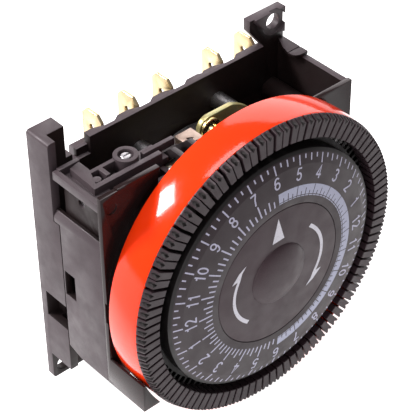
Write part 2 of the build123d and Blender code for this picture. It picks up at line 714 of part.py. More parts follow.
dial_gear_depth = (17.0, 19.0)
wheel_depth = (13.5, 15.0)
pinion_depth = (15.0, 19.4)
bush_r = 3.4
arbor_collar_r = 1.8
arbor_collar_front = 13.3
arbor_front = 20.6
arbor_clip_depth = (19.6, 20.0)
arbor_clip_r = 1.9
dial_line = degrees(atan2(arbor_xz[1], arbor_xz[0]))
motor_line = degrees(atan2(motor_xz[1] - arbor_xz[1], motor_xz[0] - arbor_xz[0]))

gear("dial_gear", (0, 0), dial_teeth, coarse_module, dial_gear_depth, bush_r, dial_line)
gear("intermediate_pinion", arbor_xz, pinion_teeth, coarse_module, pinion_depth,
     arbor_r + run_gap, dial_line + 180 + 180 / pinion_teeth)
gear("intermediate_wheel", arbor_xz, wheel_teeth, fine_module, wheel_depth,
     arbor_r + run_gap, motor_line)
gear("motor_pinion", motor_xz, motor_teeth, fine_module, motor_gear_depth,
     motor_shaft_r, motor_line + 180 + 180 / motor_teeth)

with BuildPart() as intermediate_arbor:
    disc_between(arbor_xz, arbor_r, (mech_depth[0], arbor_front))
    disc_between(arbor_xz, arbor_collar_r, (mech_depth[1], arbor_collar_front))
finish(intermediate_arbor, "intermediate_arbor")

with BuildPart() as arbor_clip:
    disc_between(arbor_xz, arbor_clip_r, arbor_clip_depth)
    disc_between(arbor_xz, arbor_r, arbor_clip_depth, mode=Mode.SUBTRACT)
    box_between((arbor_xz[0] - arbor_r / 2, arbor_xz[0] + arbor_r / 2), arbor_clip_depth,
                (arbor_xz[1] - arbor_clip_r, arbor_xz[1]), mode=Mode.SUBTRACT)
finish(arbor_clip, "arbor_clip")

# ---------------------------------------------------------------- spindle and dial hub
spindle_flange_r = 3.2
spindle_flange_front = 13.0
spindle_collar_r = 2.9
spindle_collar_front = 16.5
spindle_end_r = 1.5
washer_depth = (16.5, 16.75)
washer_r = 3.3
bush_depth = (16.8, 33.8)
hub_r = 5.5
hub_back = 19.0
web_depth = (30.0, 31.5)    # web that carries the tappets
clip_depth = (34.0, 34.5)
clip_r = 3.6
leg_r = (31.0, 32.6)        # leg of a tappet, in the on position
leg_width = 0.9
leg_back = 26.5
slot_r = (29.2, 32.85)      # radial slot of a leg in the web
slot_width = 1.3

with BuildPart() as spindle:
    turned((
        (0, mech_depth[0]), (spindle_r, mech_depth[0]), (spindle_r, mech_depth[1]),
        (spindle_flange_r, mech_depth[1]), (spindle_flange_r, spindle_flange_front),
        (spindle_collar_r, spindle_flange_front), (spindle_collar_r, spindle_collar_front),
        (spindle_r, spindle_collar_front), (spindle_r, pointer_depth[0]),
        (spindle_end_r, pointer_depth[0]), (spindle_end_r, pointer_depth[1]), (0, pointer_depth[1]),
    ))
finish(spindle, "spindle")

with BuildPart() as friction_washer:
    disc_between((0, 0), washer_r, washer_depth)
    disc_between((0, 0), spindle_r, washer_depth, mode=Mode.SUBTRACT)
finish(friction_washer, "friction_washer")

with BuildPart() as spindle_clip:
    disc_between((0, 0), clip_r, clip_depth)
    disc_between((0, 0), spindle_r, clip_depth, mode=Mode.SUBTRACT)
    box_between((-spindle_r / 2, spindle_r / 2), clip_depth, (-clip_r, 0), mode=Mode.SUBTRACT)
finish(spindle_clip, "spindle_clip")

with BuildPart() as dial_bush:
    disc_between((0, 0), bush_r, bush_depth)
    disc_between((0, 0), spindle_r + run_gap, bush_depth, mode=Mode.SUBTRACT)
finish(dial_bush, "dial_bush")

with BuildPart() as dial_hub:
    disc_between((0, 0), hub_r, (hub_back, web_depth[1]))
    disc_between((0, 0), bush_r, (hub_back, web_depth[1]), mode=Mode.SUBTRACT)
finish(dial_hub, "dial_hub")

with BuildPart() as tappet_guide:
    disc_between((0, 0), ring_inner_r, web_depth)
    disc_between((0, 0), hub_r, web_depth, mode=Mode.SUBTRACT)
    with BuildSketch(front(web_depth[0])):
        with PolarLocations(sum(slot_r) / 2, tappet_count, start_angle=90 + tappet_pitch / 2):
            Rectangle(slot_r[1] - slot_r[0], slot_width)
    extrude(amount=web_depth[1] - web_depth[0], mode=Mode.SUBTRACT)
finish(tappet_guide, "tappet_guide")

with BuildPart() as carrier_ring:
    with BuildSketch(Plane.XY):
        with BuildLine():
            ThreePointArc(
                (ring_r, -ring_depth[0]), (ring_r + ring_crown, -sum(ring_depth) / 2),
                (ring_r, -ring_depth[1]),
            )
            Polyline(
                (ring_r, -ring_depth[1]), (ring_inner_r, -ring_depth[1]),
                (ring_inner_r, -ring_depth[0]), (ring_r, -ring_depth[0]),
            )
        make_face()
    revolve(axis=Axis.Y)
finish(carrier_ring, "carrier_ring")

# ---------------------------------------------------------------- scale disc, pointer disc and cap
disc_back = web_depth[1]
disc_skirt = 1.4
disc_web_depth = (34.2, 35.6)
disc_bore_r = 5.8
disc_recess_r = 16.9        # recess of the pointer disc
disc_crown = ((18.6, 37.2), (21.1, 36.9), (25.3, 36.26), (27.3, 35.5))
disc_rim_depth = 35.0

with BuildPart() as scale_disc:
    turned((
        (disc_bore_r, disc_web_depth[0]), (disc_bore_r, disc_web_depth[1]),
        (disc_recess_r, disc_web_depth[1]), (disc_recess_r, pointer_depth[1]), *disc_crown,
        (disc_r, disc_rim_depth), (disc_r, disc_back), (disc_r - disc_skirt, disc_back),
        (disc_r - disc_skirt, disc_web_depth[0]),
    ))
finish(scale_disc, "scale_disc")

with BuildPart() as pointer_disc:
    disc_between((0, 0), pointer_r, pointer_depth)
    disc_between((0, 0), spindle_end_r, pointer_depth, mode=Mode.SUBTRACT)
finish(pointer_disc, "pointer_disc")

dome_r = (cap_r ** 2 + cap_height ** 2) / (2 * cap_height)
dome_mid = cap_height - dome_r + (dome_r ** 2 - cap_r ** 2 / 4) ** 0.5

with BuildPart() as centre_cap:
    with BuildSketch(Plane.XY):
        with BuildLine():
            ThreePointArc(
                (cap_r, -pointer_depth[1]), (cap_r / 2, -pointer_depth[1] - dome_mid),
                (0, -pointer_depth[1] - cap_height),
            )
            Polyline(
                (0, -pointer_depth[1] - cap_height), (0, -pointer_depth[1]),
                (cap_r, -pointer_depth[1]),
            )
        make_face()
    revolve(axis=Axis.Y)
finish(centre_cap, "centre_cap")

# ---------------------------------------------------------------- tappets
head_gap = 0.1              # sliding gap under a tappet's head
tappet_outline = (
    (tappet_r[0], web_depth[1] + head_gap), (tappet_r[0], tappet_front),
    (tappet_r[1], tappet_front), (tappet_r[2], tappet_bevel_depth),
    (tappet_r[2], ring_depth[1] + head_gap), (leg_r[1] + head_gap, ring_depth[1] + head_gap),
    (leg_r[1] + head_gap, web_depth[1] + head_gap),
)


def tappet_angle(index):
    """Angle of a tappet from the top, counter-clockwise from the front. In the loose arc the
    tappets lean together in pairs."""
    angle = tappet_pitch * (index + 0.5)
    from_arc_start = (6 + angle / 15 - loose_hours[0]) % 24
    if from_arc_start > loose_hours[1] - loose_hours[0]:
        return angle
    return angle + tappet_lean * (1 if index % 2 == 0 else -1)


def tappet_half_width(radius):
    """Half the width of the wedge-shaped head at a radius."""
    return (radians(tappet_pitch) * radius - tappet_gap) / 2


with BuildPart() as top_tappet:
    with BuildSketch(front(web_depth[1] + head_gap)):
        with BuildLine():
            Polyline(
                (-tappet_half_width(tappet_r[0]), tappet_r[0]),
                (tappet_half_width(tappet_r[0]), tappet_r[0]),
                (tappet_half_width(tappet_r[2]), tappet_r[2]),
                (-tappet_half_width(tappet_r[2]), tappet_r[2]), close=True,
            )
        make_face()
    extrude(amount=tappet_front - web_depth[1] - head_gap)
    with BuildSketch(Plane.YZ.offset(-tappet_half_width(tappet_r[2]))):
        with BuildLine():
            Polyline(*[(-depth, radius) for radius, depth in tappet_outline], close=True)
        make_face()
    extrude(amount=2 * tappet_half_width(tappet_r[2]), mode=Mode.INTERSECT)
    box_between((-leg_width / 2, leg_width / 2), (leg_back, web_depth[1] + head_gap), leg_r)

moving_tappets = range(4 * (moving_hours[0] - 6), 4 * (moving_hours[1] - 6))
placed_tappets = [
    top_tappet.part.rotate(Axis.Y, -tappet_angle(index)) for index in range(tappet_count)
]

with BuildPart() as tappets:
    add([tappet for index, tappet in enumerate(placed_tappets) if index not in moving_tappets])
finish(tappets, "tappets")

for index in moving_tappets:
    with BuildPart() as tappet:
        add(placed_tappets[index])
    finish(tappet, f"tappet_{6 + index // 4:02d}{15 * (index % 4):02d}")
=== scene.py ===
"""Looks of a panel-mount programmable timer with a drum dial of sliding tappets.

Sizes are in millimetres and turned into metres where meshes are made. Depth is measured forwards
from the back face of the rear plate, so depth d lies at y = -d. The dial's axis is the Y axis.
"""

import json
from math import atan2, cos, hypot, pi, radians, sin, tan

import bmesh
import bpy
from mathutils import Matrix, Vector

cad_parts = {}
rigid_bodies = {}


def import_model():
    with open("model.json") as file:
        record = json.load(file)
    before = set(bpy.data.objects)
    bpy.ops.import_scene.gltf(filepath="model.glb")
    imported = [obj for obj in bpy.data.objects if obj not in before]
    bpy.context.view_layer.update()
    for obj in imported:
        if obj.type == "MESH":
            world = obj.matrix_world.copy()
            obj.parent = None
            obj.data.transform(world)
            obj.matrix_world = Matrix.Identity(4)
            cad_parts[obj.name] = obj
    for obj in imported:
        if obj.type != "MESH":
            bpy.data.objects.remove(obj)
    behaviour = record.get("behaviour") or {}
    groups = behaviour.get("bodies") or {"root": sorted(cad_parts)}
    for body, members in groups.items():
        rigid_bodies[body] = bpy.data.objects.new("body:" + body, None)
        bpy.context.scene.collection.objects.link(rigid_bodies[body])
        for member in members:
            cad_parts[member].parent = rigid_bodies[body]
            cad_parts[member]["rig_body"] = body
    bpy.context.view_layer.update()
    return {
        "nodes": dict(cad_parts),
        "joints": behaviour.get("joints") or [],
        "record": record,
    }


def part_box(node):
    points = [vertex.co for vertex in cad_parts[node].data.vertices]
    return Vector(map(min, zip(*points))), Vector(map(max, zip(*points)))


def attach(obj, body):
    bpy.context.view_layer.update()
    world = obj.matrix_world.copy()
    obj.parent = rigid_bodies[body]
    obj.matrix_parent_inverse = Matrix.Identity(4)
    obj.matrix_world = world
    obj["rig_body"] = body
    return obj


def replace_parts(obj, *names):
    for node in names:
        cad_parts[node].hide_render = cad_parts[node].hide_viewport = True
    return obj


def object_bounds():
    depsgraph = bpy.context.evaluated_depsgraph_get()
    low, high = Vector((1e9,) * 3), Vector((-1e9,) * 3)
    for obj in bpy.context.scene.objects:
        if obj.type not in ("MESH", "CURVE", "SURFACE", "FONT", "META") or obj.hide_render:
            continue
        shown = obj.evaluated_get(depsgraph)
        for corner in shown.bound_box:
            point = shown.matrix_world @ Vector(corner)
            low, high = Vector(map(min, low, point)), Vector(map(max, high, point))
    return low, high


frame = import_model()

MM = 0.001
scene = bpy.context.scene
nodes = frame["nodes"]


def mm(node):
    """Lowest and highest corner of a CAD node, in millimetres."""
    low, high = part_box(node)
    return low / MM, high / MM


# ---------------------------------------------------------------- camera
AIM = (3.1, -11.6, 0.2)             # the camera looks at this point
AZIMUTH = radians(-41.16)           # from the front, towards the left
ELEVATION = radians(39.64)
ROLL = radians(-0.6)
CAMERA_DISTANCE = 360
SENSOR_WIDTH = 36
FOCAL_LENGTH = 144.5
CLIP_START = 10


def make_camera():
    """Camera at the viewing angle: high, and to the left of the dial's axis."""
    away = Vector((sin(AZIMUTH) * cos(ELEVATION), -cos(AZIMUTH) * cos(ELEVATION), sin(ELEVATION)))
    data = bpy.data.cameras.new("camera")
    data.sensor_width = SENSOR_WIDTH
    data.lens = FOCAL_LENGTH
    data.clip_start = CLIP_START * MM
    camera = bpy.data.objects.new("camera", data)
    camera.matrix_world = (
        Matrix.Translation((Vector(AIM) + away * CAMERA_DISTANCE) * MM)
        @ (-away).to_track_quat("-Z", "Y").to_matrix().to_4x4()
        @ Matrix.Rotation(ROLL, 4, "Z")
    )
    scene.collection.objects.link(camera)
    scene.camera = camera


# ---------------------------------------------------------------- stage
FLOOR_HALF = 1500
FLOOR_DROP = 0.05           # the floor lies this far under the object
FLOOR_COLOUR = (0.60, 0.60, 0.60, 1)
GLOW_CENTRE = (45, 30)      # the floor glows around this point
GLOW_R = (108, 150)         # full glow up to the first radius, and the least from the second on
GLOW = (1.0, 0.06)
SKY_COLOUR = (1.0, 0.97, 0.98, 1)
SKY_STRENGTH = 0.22
LIGHT_COLOUR = (1.0, 0.94, 0.96)
LIGHTS = (                  # name, direction, distance and side in metres, power in watts
    ("overhead", (0.0, 0.08, 1.0), 0.9, 0.5, 6.5),
    ("rear_left_key", (-0.56, 0.58, 0.60), 0.7, 0.19, 7.0),
    ("rear_right", (0.70, 0.58, 0.42), 0.9, 0.6, 3.0),
    ("front_left", (-0.95, -0.62, 0.25), 0.9, 0.7, 3.5),
)


def area_light(name, direction, distance, size, power):
    """Soft square light that looks at the object from a direction."""
    data = bpy.data.lights.new(name, "AREA")
    data.shape = "SQUARE"
    data.size = size
    data.energy = power
    data.color = LIGHT_COLOUR
    light = bpy.data.objects.new(name, data)
    place = Vector(direction).normalized() * distance
    light.matrix_world = Matrix.Translation(place) @ place.to_track_quat("Z", "Y").to_matrix().to_4x4()
    scene.collection.objects.link(light)


def floor_paint(floor_z):
    """Matt pale paint that glows around the object, which makes the background white there."""
    paint = bpy.data.materials.new("floor_paint")
    paint.use_nodes = True
    tree = paint.node_tree
    shader = tree.nodes["Principled BSDF"]
    shader.inputs["Base Color"].default_value = FLOOR_COLOUR
    shader.inputs["Roughness"].default_value = 0.9
    shader.inputs["Specular IOR Level"].default_value = 0.1
    shader.inputs["Emission Color"].default_value = (1.0, 1.0, 1.0, 1)
    coords = tree.nodes.new("ShaderNodeTexCoord")
    length = tree.nodes.new("ShaderNodeVectorMath")
    length.operation = "DISTANCE"
    length.inputs[1].default_value = (GLOW_CENTRE[0] * MM, GLOW_CENTRE[1] * MM, floor_z)
    tree.links.new(coords.outputs["Object"], length.inputs[0])
    glow = tree.nodes.new("ShaderNodeMapRange")
    glow.interpolation_type = "SMOOTHSTEP"
    glow.inputs["From Min"].default_value = GLOW_R[0] * MM
    glow.inputs["From Max"].default_value = GLOW_R[1] * MM
    glow.inputs["To Min"].default_value = GLOW[0]
    glow.inputs["To Max"].default_value = GLOW[1]
    tree.links.new(length.outputs["Value"], glow.inputs["Value"])
    tree.links.new(glow.outputs["Result"], shader.inputs["Emission Strength"])
    return paint


def make_stage():
    """Pale floor under the object, a dim pale world and soft lights."""
    floor_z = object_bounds()[0][2] - FLOOR_DROP * MM
    half = FLOOR_HALF * MM
    mesh = bpy.data.meshes.new("floor")
    mesh.from_pydata([(-half, -half, floor_z), (half, -half, floor_z), (half, half, floor_z),
                      (-half, half, floor_z)], [], [(0, 1, 2, 3)])
    mesh.materials.append(floor_paint(floor_z))
    floor = bpy.data.objects.new("floor", mesh)
    scene.collection.objects.link(floor)

    world = bpy.data.worlds.new("studio")
    scene.world = world
    world.use_nodes = True
    sky = world.node_tree.nodes["Background"]
    sky.inputs["Color"].default_value = SKY_COLOUR
    sky.inputs["Strength"].default_value = SKY_STRENGTH
    for light in LIGHTS:
        area_light(*light)
    scene.view_settings.view_transform = "Standard"


# ---------------------------------------------------------------- materials
SCALE_FACE_R = 27.55        # the scale disc is black beyond this radius
FACE_BLUR = 0.05            # half the width over which it turns black
MARGIN_BLACK = (0.004, 0.003, 0.003)


class Paint:
    """A material with its principled shader and object coordinates, and short calls to add nodes."""

    def __init__(self, name, rough, metal=0.0, specular=0.5):
        self.material = bpy.data.materials.new(name)
        self.material.use_nodes = True
        self.tree = self.material.node_tree
        self.shader = self.tree.nodes["Principled BSDF"]
        self.shader.inputs["Roughness"].default_value = rough
        self.shader.inputs["Metallic"].default_value = metal
        self.shader.inputs["Specular IOR Level"].default_value = specular
        self.coords = self.tree.nodes.new("ShaderNodeTexCoord").outputs["Object"]

    def link(self, output, target):
        self.tree.links.new(output, target)

    def stretched(self, factors):
        """Object coordinates, scaled differently along X, Y and Z."""
        mapping = self.tree.nodes.new("ShaderNodeMapping")
        mapping.inputs["Scale"].default_value = factors
        self.link(self.coords, mapping.inputs["Vector"])
        return mapping.outputs["Vector"]

    def noise(self, size_mm, detail=3.0, coords=None):
        """Noise whose features are about size_mm across."""
        node = self.tree.nodes.new("ShaderNodeTexNoise")
        node.inputs["Scale"].default_value = 1 / (size_mm * MM)
        node.inputs["Detail"].default_value = detail
        self.link(coords or self.coords, node.inputs["Vector"])
        return node.outputs["Fac"]

    def ramp(self, value, stops):
        """Value turned into colours; stops are (position, colour)."""
        node = self.tree.nodes.new("ShaderNodeValToRGB")
        elements = node.color_ramp.elements
        while len(elements) < len(stops):
            elements.new(0.5)
        for element, (position, colour) in zip(elements, stops):
            element.position = position
            element.color = (*colour, 1)
        self.link(value, node.inputs["Fac"])
        return node.outputs["Color"]

    def between(self, value, low, high, start=0.35, end=0.65):
        """Value mapped to a number from low to high."""
        node = self.tree.nodes.new("ShaderNodeMapRange")
        node.inputs["From Min"].default_value = start
        node.inputs["From Max"].default_value = end
        node.inputs["To Min"].default_value = low
        node.inputs["To Max"].default_value = high
        self.link(value, node.inputs["Value"])
        return node.outputs["Result"]

    def mixed(self, factor, first, second, blend="MIX"):
        """Two colours mixed by a factor."""
        node = self.tree.nodes.new("ShaderNodeMix")
        node.data_type = "RGBA"
        node.blend_type = blend
        sockets = [s for s in node.inputs if s.enabled]
        for socket, value in zip(sockets, (factor, first, second)):
            if isinstance(value, bpy.types.NodeSocket):
                self.link(value, socket)
            else:
                socket.default_value = value
        return [s for s in node.outputs if s.enabled][0]

    def colour(self, output):
        self.link(output, self.shader.inputs["Base Color"])

    def roughness(self, output):
        self.link(output, self.shader.inputs["Roughness"])

    def bump(self, height, depth_mm):
        """Surface relief of a depth."""
        node = self.tree.nodes.new("ShaderNodeBump")
        node.inputs["Distance"].default_value = depth_mm * MM
        node.inputs["Strength"].default_value = 1.0
        self.link(height, node.inputs["Height"])
        self.link(node.outputs["Normal"], self.shader.inputs["Normal"])


def black_beyond(paint, base, radius):
    """Colour that changes to black beyond a radius from the dial's axis."""
    flat = paint.tree.nodes.new("ShaderNodeVectorMath")
    flat.operation = "MULTIPLY"
    flat.inputs[1].default_value = (1, 0, 1)
    paint.link(paint.coords, flat.inputs[0])
    length = paint.tree.nodes.new("ShaderNodeVectorMath")
    length.operation = "LENGTH"
    paint.link(flat.outputs["Vector"], length.inputs[0])
    share = paint.between(length.outputs["Value"], 0.0, 1.0, (radius - FACE_BLUR) * MM,
                          (radius + FACE_BLUR) * MM)
    return paint.mixed(share, base, (*MARGIN_BLACK, 1))


def shade(colour, factor):
    """A colour made lighter or darker."""
    return tuple(min(1.0, c * factor) for c in colour)


def moulded(name, colour, rough, grain=0.12, relief=0.006, patch=0.12, specular=0.45, face_r=None):
    """Injection-moulded plastic: fine grain, faint clouding and slight gloss changes.

    With face_r, it is black beyond that radius from the dial's axis.
    """
    paint = Paint(name, rough, specular=specular)
    cloud = paint.noise(9.0, 4)
    speck = paint.noise(grain, 2)
    base = paint.ramp(cloud, [(0.3, shade(colour, 1 - patch)), (0.7, shade(colour, 1 + patch))])
    fleck = paint.ramp(speck, [(0.35, (0.82, 0.82, 0.82)), (0.65, (1.0, 1.0, 1.0))])
    tone = paint.mixed(1.0, base, fleck, "MULTIPLY")
    paint.colour(black_beyond(paint, tone, face_r) if face_r else tone)
    paint.roughness(paint.between(paint.noise(3.0, 5), rough - 0.06, rough + 0.08))
    paint.bump(speck, relief)
    return paint.material


def glossy(name, colour, rough, peel=0.004, haze=0.1, specular=0.5):
    """Polished moulded plastic with a slight orange peel, fine rub marks and a clear sheen."""
    paint = Paint(name, rough, specular=specular)
    cloud = paint.noise(14.0, 3)
    paint.colour(paint.ramp(cloud, [(0.3, shade(colour, 1 - haze)), (0.7, shade(colour, 1 + haze))]))
    rub = paint.noise(1.2, 6, paint.stretched((1.0, 6.0, 1.0)))
    paint.roughness(paint.between(rub, rough * 0.7, rough * 1.6))
    paint.bump(paint.noise(2.2, 2), peel)
    return paint.material


def metal(name, colour, rough, second=None, grain=(1.0, 1.0, 14.0), stain=0.5):
    """Stamped or turned metal: fine drawn grain, clouded colour and gloss that changes with it."""
    paint = Paint(name, rough, metal=1.0)
    cloud = paint.noise(2.6, 5)
    tone = paint.ramp(cloud, [(0.3, shade(colour, 0.86)), (0.55, colour),
                              (0.75, second or shade(colour, 1.08))])
    fine = paint.noise(0.25, 3, paint.stretched(grain))
    streak = paint.ramp(fine, [(0.3, (1 - 0.3 * stain,) * 3), (0.7, (1.0, 1.0, 1.0))])
    paint.colour(paint.mixed(1.0, tone, streak, "MULTIPLY"))
    paint.roughness(paint.between(fine, rough * 0.8, rough * 1.35))
    paint.bump(fine, 0.003)
    return paint.material


def printed_ink(name, colour):
    """Screen-printed ink, slightly uneven, with a few thin spots."""
    rough = 0.45
    paint = Paint(name, rough, specular=0.4)
    worn = paint.noise(0.35, 4)
    paint.colour(paint.ramp(worn, [(0.25, shade(colour, 0.72)), (0.45, colour)]))
    paint.roughness(paint.between(worn, rough, rough + 0.15))
    paint.bump(worn, 0.003)
    return paint.material


def chromated():
    """Yellow-passivated steel, which shimmers from olive to straw and pale green."""
    paint = Paint("chromated_steel", 0.38, metal=0.55)
    cloud = paint.noise(4.5, 4)
    paint.colour(paint.ramp(cloud, [(0.28, (0.30, 0.27, 0.11)), (0.45, (0.44, 0.40, 0.18)),
                                    (0.58, (0.40, 0.42, 0.22)), (0.72, (0.50, 0.42, 0.20))]))
    rolled = paint.noise(0.3, 3, paint.stretched((12.0, 1.0, 1.0)))
    paint.roughness(paint.between(rolled, 0.26, 0.46))
    paint.bump(rolled, 0.003)
    return paint.material


materials = {
    "housing": moulded("housing_plastic", (0.050, 0.037, 0.042), 0.50),
    # painted shade: the housing's plastic made darker, for faces inside the bay and in recesses
    "inside": moulded("inner_painted_shade", (0.014, 0.009, 0.009), 0.42, specular=0.22),
    "panel": glossy("panel_plastic", (0.014, 0.008, 0.008), 0.16, specular=0.24),
    "ring": glossy("ring_plastic", (0.74, 0.034, 0.003), 0.10, peel=0.003, haze=0.04,
                   specular=0.36),
    "tappet": moulded("tappet_plastic", (0.030, 0.018, 0.022), 0.42, grain=0.16,
                      specular=0.34),
    # painted shade: a near-black copy of the tappet plastic, for the floors and flanks of the tappets'
    # notches
    "pit": moulded("tappet_pit_painted_shade", (0.006, 0.004, 0.004), 0.6),
    "disc": moulded("disc_plastic", (0.024, 0.014, 0.018), 0.48, grain=0.18, relief=0.008,
                    face_r=SCALE_FACE_R),
    "pointer": moulded("pointer_plastic", (0.043, 0.025, 0.031), 0.46, grain=0.2, relief=0.006,
                       specular=0.36),
    "hub": moulded("hub_plastic", (0.008, 0.006, 0.006), 0.55),
    "gear": moulded("gear_plastic", (0.80, 0.77, 0.68), 0.42, patch=0.05),
    "lever": moulded("lever_plastic", (0.020, 0.016, 0.017), 0.40, patch=0.06),
    "ink": printed_ink("print_white", (0.44, 0.44, 0.56)),
    "mark_ink": printed_ink("marks_white", (0.62, 0.62, 0.68)),
    "band_ink": printed_ink("print_band", (0.38, 0.40, 0.52)),
    "brass": metal("terminal_brass", (0.76, 0.62, 0.36), 0.30, (0.86, 0.74, 0.48), stain=0.3),
    "eyelet": metal("rivet_brass", (0.90, 0.74, 0.34), 0.22, grain=(1.0, 1.0, 1.0)),
    "chromate": chromated(),
    "steel": metal("plain_steel", (0.60, 0.60, 0.61), 0.30),
    "copper": metal("copper_strip", (0.44, 0.34, 0.28), 0.40, (0.52, 0.42, 0.35)),
    "silver": metal("silver_contact", (0.86, 0.86, 0.84), 0.25),
    "winding": metal("coil_copper", (0.62, 0.26, 0.10), 0.35, grain=(1.0, 30.0, 1.0)),
    "ferrite": moulded("rotor_ferrite", (0.06, 0.06, 0.065), 0.4),
}


# ---------------------------------------------------------------- mesh helpers
MERGE = 1e-5                # corners of a new mesh closer than this are one
CAD_MERGE = 1e-4            # the same in a copy of a CAD mesh
FLAT_ANGLE = radians(1.0)   # faces that meet at less than this become one face
ROUND_ANGLE = radians(30)   # edges sharper than this are rounded
ROUND_SEGMENTS = 2
MOULDING_SMOOTH = 40        # edges sharper than this, in degrees, stay sharp in shading
SPUN_SMOOTH = 28            # the same for turned pieces
CORNER_STEPS = 3
CORNER_SHARE = 0.45         # a corner's rounding takes at most this share of the sides beside it
STRAIGHT = pi - 0.01        # a corner wider than this is left as it is
LEAST_TAN = 0.1
# the next values pick the housing's faces that get painted shade
BODY_HALF = 34.0
BAY_TOP = 26.6
RECESS = 0.9                # a side face this far inside the body's outline is in a recess
BAY_FRONT = 21.0            # walls that face forwards behind this depth stand inside the bay
FLOOR_TOP = 20.0
FACING = 0.7                # least part of a normal along an axis for a face to face that way


def shade_smooth(bm, smooth_angle):
    """Smooth shading, except at edges sharper than an angle in degrees."""
    for face in bm.faces:
        face.smooth = True
    for edge in bm.edges:
        edge.smooth = len(edge.link_faces) == 2 and edge.calc_face_angle(0) < radians(smooth_angle)


def add_mesh(name, bm, paint, body, smooth_angle=35.0, extra=()):
    """Object from a bmesh, in millimetres, smooth except at sharp edges; it rides on a body."""
    bmesh.ops.remove_doubles(bm, verts=bm.verts, dist=MERGE)
    bmesh.ops.recalc_face_normals(bm, faces=bm.faces)
    bmesh.ops.scale(bm, vec=(MM, MM, MM), verts=bm.verts)
    shade_smooth(bm, smooth_angle)
    mesh = bpy.data.meshes.new(name)
    bm.to_mesh(mesh)
    bm.free()
    for used in (paint, *extra):
        mesh.materials.append(materials[used])
    piece = bpy.data.objects.new(name, mesh)
    scene.collection.objects.link(piece)
    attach(piece, body)
    return piece


def faces_inwards(polygon):
    """Whether a face of the housing lies inside the bay or in a recess, where a darker paint stands
    for painted shade.
    """
    x, y, z = (c / MM for c in polygon.center)
    normal = polygon.normal
    if z > BAY_TOP or abs(x) > BODY_HALF - RECESS / 2 and normal.y > -FACING:
        return False
    return (normal.x < -FACING and x > RECESS - BODY_HALF
            or normal.x > FACING and x < BODY_HALF - RECESS
            or normal.y < -FACING and -y < BAY_FRONT
            or normal.z > FACING and z < FLOOR_TOP)


def softened(node, paint, radius, painted_shade_inside=False):
    """Copy of a CAD node with its edges rounded, which replaces the node. On request, its faces in the
    bay and in recesses get a darker paint as painted shade.
    """
    source = nodes[node]
    mesh = source.data.copy()
    bm = bmesh.new()
    bm.from_mesh(mesh)
    bmesh.ops.remove_doubles(bm, verts=bm.verts, dist=CAD_MERGE * MM)
    bmesh.ops.dissolve_limit(bm, angle_limit=FLAT_ANGLE, verts=bm.verts, edges=bm.edges)
    bm.to_mesh(mesh)
    bm.free()
    for attribute in [a for a in mesh.attributes if a.name in ("custom_normal", "sharp_edge")]:
        mesh.attributes.remove(attribute)
    piece = bpy.data.objects.new(node + "_moulding", mesh)
    scene.collection.objects.link(piece)
    bevel = piece.modifiers.new("rounding", "BEVEL")
    bevel.width = radius * MM
    bevel.segments = ROUND_SEGMENTS
    bevel.limit_method = "ANGLE"
    bevel.angle_limit = ROUND_ANGLE
    bevel.use_clamp_overlap = True
    bpy.context.view_layer.update()
    graph = bpy.context.evaluated_depsgraph_get()
    rounded = bpy.data.meshes.new_from_object(piece.evaluated_get(graph))
    piece.modifiers.clear()
    piece.data = rounded
    bm = bmesh.new()
    bm.from_mesh(rounded)
    shade_smooth(bm, MOULDING_SMOOTH)
    bm.to_mesh(rounded)
    bm.free()
    rounded.materials.clear()
    rounded.materials.append(materials[paint])
    # faces in the bay and in recesses take the darker paint, as painted shade
    if painted_shade_inside:
        rounded.materials.append(materials["inside"])
        for polygon in rounded.polygons:
            polygon.material_index = 1 if faces_inwards(polygon) else 0
    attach(piece, source["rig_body"])
    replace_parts(piece, node)
    return piece


def polar(radius, angle):
    """(x, z) at a radius and an angle from the top, counter-clockwise from the front."""
    return (-radius * sin(angle), radius * cos(angle))


def spun(name, outline, paint, body, steps=192):
    """Solid of revolution about the dial's axis from a closed list of (radius, depth)."""
    bm = bmesh.new()
    rings = []
    for radius, depth in outline:
        count = steps if radius else 1
        ring = []
        for i in range(count):
            x, z = polar(radius, 2 * pi * i / count)
            ring.append(bm.verts.new((x, -depth, z)))
        rings.append(ring)
    for first, second in zip(rings, rings[1:] + rings[:1]):
        if len(first) == 1 and len(second) == 1:
            continue
        for i in range(steps):
            j = (i + 1) % steps
            loop = [first[i % len(first)], first[j % len(first)], second[j % len(second)],
                    second[i % len(second)]]
            corners = list(dict.fromkeys(loop))
            if len(corners) >= 3:
                bm.faces.new(corners)
    return add_mesh(name, bm, paint, body, SPUN_SMOOTH)


def rounded_outline(corners, radius):
    """Closed outline with its corners rounded; a corner may carry its own radius."""
    points = []
    count = len(corners)
    for i, corner in enumerate(corners):
        here = Vector(corner[:2])
        own = corner[2] if len(corner) > 2 else radius
        to_last = Vector(corners[i - 1][:2]) - here
        to_next = Vector(corners[(i + 1) % count][:2]) - here
        if own <= 0:
            points.append(tuple(here))
            continue
        turn = to_last.angle(to_next)
        wanted = own / max(LEAST_TAN, tan(turn / 2)) if turn < STRAIGHT else 0
        reach = min(wanted, to_last.length * CORNER_SHARE, to_next.length * CORNER_SHARE)
        start = here + to_last.normalized() * reach
        end = here + to_next.normalized() * reach
        for step in range(CORNER_STEPS + 1):
            t = step / CORNER_STEPS
            points.append(tuple(start * (1 - t) ** 2 + here * 2 * t * (1 - t) + end * t ** 2))
    return points


# ---------------------------------------------------------------- carrier ring and discs
ring_low, ring_high = mm("carrier_ring")
RING_BACK, RING_FRONT = -ring_high.y, -ring_low.y
RING_CROWN_R = ring_high.x
RING_R = 35.0               # at the rims
RING_INNER_R = 32.9
RING_STEPS = 12
RIM_ROUND = 0.35            # rounding of the rear rim, left out of the crown at both ends
RIM_WIDTH = 0.45            # thin front rim; the rest of the ring's front lies lower
RIM_SLOPE = 0.3
RIM_STEP = 1.3

disc_high = mm("scale_disc")[1]
DISC_R = disc_high.x
DISC_BACK = -disc_high.y
DISC_BORE_R = 5.8
DISC_SKIRT = 1.4            # width of the skirt around the disc's hollow back
DISC_HOLLOW = 34.2          # depth of the hollow back
DISC_WELL = 35.6            # depth of the well that holds the pointer disc

